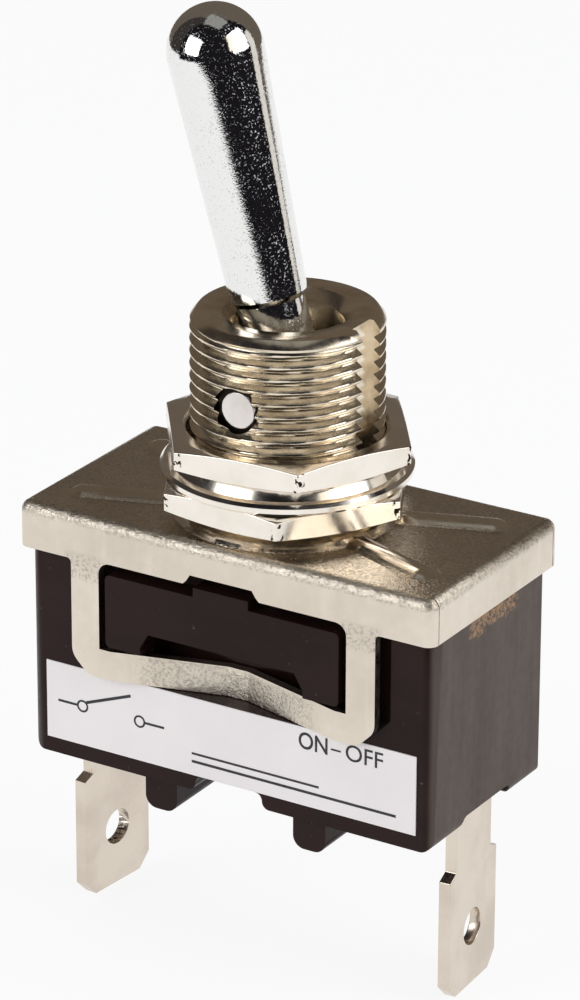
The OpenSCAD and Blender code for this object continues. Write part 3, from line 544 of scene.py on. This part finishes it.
def lever():
    """The lever turned as one smooth form, with its tail bore and the pin's cross hole."""
    ball, root, neck, pivot_ball, tail = 2.95, 2.375, 2.1, 3.0, 2.05
    centre, start = 20.6, 5.5
    bore, low, bore_end = 1.35, -9.5, -2.65
    profile = [(bore, bore_end), (bore, low), (tail, low), (tail, -2.3)]
    for degrees in range(-46, 46, 4):
        a = math.radians(degrees)
        profile.append((pivot_ball * math.cos(a), pivot_ball * math.sin(a)))
    profile += [(neck, start - 0.32), (neck + 0.03, start - 0.27), (root - 0.05, start - 0.03),
                (root, start + 0.03)]
    for k in range(1, 12):
        t = k / 12
        profile.append((root + (ball - root) * t, start + (centre - start) * t))
    for k in range(32):
        a = math.radians(90 * k / 32)
        profile.append((ball * math.cos(a), centre + ball * math.sin(a)))
    sides = 128
    points, faces, n = [], [], len(profile)
    for i in range(sides):
        c, s = around(i, sides)
        points += [(r * c, r * s, z) for r, z in profile]
    points += [(0, 0, bore_end), (0, 0, centre + ball)]
    roof, crown = len(points) - 2, len(points) - 1
    for i in range(sides):
        j = (i + 1) % sides
        faces += [(i * n + k, j * n + k, j * n + k + 1, i * n + k + 1) for k in range(n - 1)]
    for i in range(sides):
        j = (i + 1) % sides
        faces.append((roof, j * n, i * n))
        faces.append((crown, i * n + n - 1, j * n + n - 1))
    obj = new_mesh("bat_lever", points, faces, MATS["chrome"])
    obj.data.transform(Matrix.Rotation(math.radians(-LEVER_TILT), 4, "Y"))
    bm = bmesh.new()
    drill(bm, 1.2, 8.0, 64)
    carve(obj, bm, 30)
    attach(obj, "lever")
    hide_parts("lever")


lever()


# ---- Plunger spring ----------------------------------------------------------------------

def coil_spring():
    """The plunger's spring with closed end coils, tilted with the lever and attached to its body.
    """
    radius, wire, turns = 1.0, 0.2, 5.0
    low, high, travel = -5.98, -2.87, 0.6
    closed, closed_rise = 0.6, 0.12    # turns in each closed end, and what they rise
    steps, sides = 130, 12
    points, faces = [], []
    for i in range(steps + 1):
        t = i / steps
        turned = t * turns
        rise = min(1.0, max(0.0, (turned - closed) / (turns - 2 * closed)))
        a = 2 * math.pi * turns * t
        z = low + closed_rise * min(1.0, turned / closed) + (high - low - 2 * closed_rise) * rise
        z += closed_rise * max(0.0, (turned - turns + closed) / closed)
        for j in range(sides):
            b = 2 * math.pi * j / sides
            r = radius + wire * math.cos(b)
            points.append((r * math.cos(a), r * math.sin(a), z + wire * math.sin(b)))
    for i in range(steps):
        for j in range(sides):
            k = (j + 1) % sides
            faces.append((i * sides + j, i * sides + k, (i + 1) * sides + k, (i + 1) * sides + j))
    faces.append(tuple(range(sides - 1, -1, -1)))
    faces.append(tuple(steps * sides + j for j in range(sides)))
    obj = new_mesh("coil_spring", points, faces, MATS["steel"])
    obj.data.transform(Matrix.Rotation(math.radians(-LEVER_TILT), 4, "Y"))
    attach(obj, "lever")
    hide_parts("plunger_spring")
    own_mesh(obj)


coil_spring()


# ---- Label print ---------------------------------------------------------------------------

def on_label(name, shapes):
    """Flat printed shapes on the label: each shape is a list of (x, z) in millimetres."""
    points, faces = [], []
    for shape in shapes:
        first = len(points)
        points += [(x, -LABEL_FACE - PRINT_LIFT, z - PIVOT) for x, z in shape]
        faces.append(tuple(range(first, first + len(shape))))
    obj = new_mesh(name, points, faces, MATS["ink"], smooth=False)
    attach(obj, "case")


def bar(x0, z0, x1, z1):
    """A rectangle between two corners."""
    return [(x0, z0), (x1, z0), (x1, z1), (x0, z1)]


def ring_pieces(x, z, r, width):
    """A ring round (x, z), of outer radius r, as short four-sided pieces."""
    sides = 28
    spokes = [around(i, sides) for i in range(sides + 1)]
    return [[(x + (r - width) * c0, z + (r - width) * s0), (x + r * c0, z + r * s0),
             (x + r * c1, z + r * s1), (x + (r - width) * c1, z + (r - width) * s1)]
            for (c0, s0), (c1, s1) in zip(spokes, spokes[1:])]


def words(name, body, x, z, size, stretch, weight):
    """A generic word printed on the label, centred on (x, z), thickened by weight of its size."""
    curve = bpy.data.curves.new(name, "FONT")
    curve.body = body
    curve.size = size * MM
    curve.align_x = "CENTER"
    curve.align_y = "CENTER"
    curve.offset = weight * size * MM
    obj = bpy.data.objects.new(name, curve)
    bpy.context.scene.collection.objects.link(obj)
    bpy.context.view_layer.update()
    graph = bpy.context.evaluated_depsgraph_get()
    mesh = bpy.data.meshes.new_from_object(obj.evaluated_get(graph))
    bpy.data.objects.remove(obj)
    mesh.materials.clear()
    mesh.materials.append(MATS["ink"])
    piece = bpy.data.objects.new(name, mesh)
    bpy.context.scene.collection.objects.link(piece)
    place = metres(x, -LABEL_FACE - PRINT_LIFT, z - PIVOT)
    piece.matrix_world = (Matrix.Translation(place) @ Matrix.Rotation(math.pi / 2, 4, "X")
                          @ Matrix.Diagonal((stretch, 1, 1, 1)))
    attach(piece, "case")


words("print_on", "ON", 6.10, -11.57, 1.55, 0.87, 0.012)
words("print_off", "OFF", 9.66, -11.57, 1.55, 0.99, 0.004)
on_label("print_dash", [bar(7.33, -11.66, 8.02, -11.54)])
# A plain switch diagram: two contacts with their leads, and the open blade between them.
contacts = ring_pieces(-10.6, -13.2, 0.42, 0.13) + ring_pieces(-6.4, -13.2, 0.42, 0.13)
leads = [bar(-12.4, -13.28, -11.0, -13.12), bar(-6.0, -13.28, -4.6, -13.12)]
blade = [(-10.28, -12.98), (-7.0, -11.72), (-7.07, -11.54), (-10.35, -12.8)]
on_label("print_schematic", contacts + leads + [blade])
on_label("print_rules", [bar(-2.6, -15.0, 11.9, -14.82), bar(-2.6, -14.45, 6.5, -14.3)])


# ---- Stage, lights and camera ----------------------------------------------------------------

# The stage is in metres.
FLOOR_HALF = 1.5
FLOOR_GAP = 0.0004
LAMP_TARGET = (0, 0, 0.005)
FLOOR_WHITE = 0.88    # the share of plain white in the floor, and the rest of it takes shadows
WORLD_FILL = 0.55
DIRECT_RAYS = ("Is Camera Ray", "Is Glossy Ray", "Is Transmission Ray")


def sheet_object(name, points, faces, material):
    """A stage object, from points in metres."""
    mesh = bpy.data.meshes.new(name)
    mesh.from_pydata(points, [], faces)
    mesh.materials.append(material)
    obj = bpy.data.objects.new(name, mesh)
    bpy.context.scene.collection.objects.link(obj)
    return obj


def direct(tree):
    """1 for the rays that show a background: from the camera, a mirror or clear glass."""
    path = tree.nodes.new("ShaderNodeLightPath")
    out = path.outputs[DIRECT_RAYS[0]]
    for ray in DIRECT_RAYS[1:]:
        either = tree.nodes.new("ShaderNodeMath")
        either.operation = "MAXIMUM"
        tree.links.new(out, either.inputs[0])
        tree.links.new(path.outputs[ray], either.inputs[1])
        out = either.outputs[0]
    return out


def floor():
    """A white table that still takes the object's shadow."""
    g = Graph("floor_white")
    g.finish((0.9, 0.9, 0.9), 0.9)
    white = g.add("ShaderNodeEmission")
    white.inputs["Color"].default_value = (1, 1, 1, 1)
    blend = g.add("ShaderNodeMixShader")
    g.link(g.product(direct(g.tree), FLOOR_WHITE), blend.inputs[0])
    g.link(g.bsdf.outputs[0], blend.inputs[1])
    g.link(white.outputs[0], blend.inputs[2])
    g.link(blend.outputs[0], g.out.inputs["Surface"])
    low = CAD_BOX[0][2] - FLOOR_GAP
    corners = ((-1, -1), (1, -1), (1, 1), (-1, 1))
    sheet_object("floor", [(FLOOR_HALF * x, FLOOR_HALF * y, low) for x, y in corners],
                 [(0, 1, 2, 3)], g.mat)


floor()


def world():
    """White to the rays that show a background, and a soft cool fill to the rest."""
    w = bpy.data.worlds.new("studio")
    bpy.context.scene.world = w
    w.use_nodes = True
    tree = w.node_tree
    tree.nodes.clear()
    out = tree.nodes.new("ShaderNodeOutputWorld")
    white = tree.nodes.new("ShaderNodeBackground")
    white.inputs[0].default_value = (1, 1, 1, 1)
    soft = tree.nodes.new("ShaderNodeBackground")
    soft.inputs[0].default_value = (0.95, 0.97, 1.0, 1)
    soft.inputs[1].default_value = WORLD_FILL
    mix = tree.nodes.new("ShaderNodeMixShader")
    tree.links.new(direct(tree), mix.inputs[0])
    tree.links.new(soft.outputs[0], mix.inputs[1])
    tree.links.new(white.outputs[0], mix.inputs[2])
    tree.links.new(mix.outputs[0], out.inputs[0])


world()


def lamp(name, place, size, power):
    """A square area lamp that faces the object; place and size in metres, power in watts."""
    data = bpy.data.lights.new(name, "AREA")
    data.shape = "RECTANGLE"
    data.size = size
    data.size_y = size
    data.energy = power
    obj = bpy.data.objects.new(name, data)
    bpy.context.scene.collection.objects.link(obj)
    obj.location = place
    facing = Vector(LAMP_TARGET) - Vector(place)
    obj.rotation_euler = facing.to_track_quat("-Z", "Y").to_euler()


lamp("key_left", (-0.212, -0.416, 0.179), 0.32, 1.0)
lamp("key_right", (0.426, 0.045, 0.258), 0.40, 1.25)


def card(name, points, faces, shade):
    """A studio card of an even shade. Only glossy rays see it, so it shows in reflections alone."""
    g = Graph(name)
    g.finish((0.0, 0.0, 0.0), 1.0, Specular_IOR_Level=0.0, Emission_Strength=1.0)
    g.put_color(g.bsdf.inputs["Emission Color"], shade)
    obj = sheet_object(name, points, faces, g.mat)
    for ray in ("camera", "shadow", "diffuse", "transmission", "volume_scatter"):
        setattr(obj, "visible_" + ray, False)


def turned_card(name, profile, start, end, shade):
    """A card bent round the part, from start to end degrees counted from -Y towards +X.

    The profile is [(radius, height)] in metres.
    """
    degrees_per_step = 6
    steps = max(4, int(abs(end - start) / degrees_per_step))
    points, faces, n = [], [], len(profile)
    for i in range(steps + 1):
        a = math.radians(start + (end - start) * i / steps)
        points += [(r * math.sin(a), -r * math.cos(a), z) for r, z in profile]
    for i in range(steps):
        for k in range(n - 1):
            faces.append((i * n + k, (i + 1) * n + k, (i + 1) * n + k + 1, i * n + k + 1))
    card(name, points, faces, shade)


# A dark room for polished metal to mirror. Its cards start where the pale table ends, go on round
# the part and over it, and hide nearly all of the white world there from glossy rays. Two bright
# cards stand in it, one low behind the right side and one high on the right. All in metres.
TABLE = CAD_BOX[0][2] + 0.002
ROOM = [(0.24, TABLE), (0.62, TABLE + 0.004), (0.64, 0.10), (0.62, 0.30), (0.50, 0.50),
        (0.30, 0.62), (0.0, 0.68)]
FAR = [(0.45, TABLE)] + ROOM[1:]
turned_card("card_near", ROOM, -60, 144, (0.010, 0.009, 0.011))
turned_card("card_far", FAR, 144, 262, (0.130, 0.106, 0.084))
turned_card("card_left", FAR, 262, 300, (0.040, 0.035, 0.032))
turned_card("card_strip", [(0.40, TABLE), (0.41, 0.10), (0.40, 0.26)], 124, 142, (0.80, 0.76, 0.70))
turned_card("card_high", [(0.50, 0.14), (0.44, 0.28), (0.34, 0.40)], 66, 94, (1.20, 1.12, 0.98))
OVER_X, OVER_FRONT, OVER_BACK, OVER_Z = 0.17, -0.14, 0.13, 0.52
card("card_over", [(-OVER_X, OVER_FRONT, OVER_Z), (OVER_X, OVER_FRONT, OVER_Z),
                   (OVER_X, OVER_BACK, OVER_Z), (-OVER_X, OVER_BACK, OVER_Z)],
     [(0, 1, 2, 3)], (0.30, 0.30, 0.285))

camera = bpy.data.cameras.new("camera")
camera.sensor_fit = "VERTICAL"
camera.sensor_height = 36.0
camera.lens = 186.43
camera.clip_start = 0.01
eye = bpy.data.objects.new("camera", camera)
bpy.context.scene.collection.objects.link(eye)
place = Vector((152.355, -247.200, 114.049)) * MM
aim = Vector((0.1363, 0.0839, -7.7531)) * MM
roll = Matrix.Rotation(math.radians(0.187), 4, "Z")
look = (aim - place).to_track_quat("-Z", "Y").to_matrix().to_4x4()
eye.matrix_world = Matrix.Translation(place) @ look @ roll
bpy.context.scene.camera = eye
bpy.context.scene.view_settings.view_transform = "Standard"
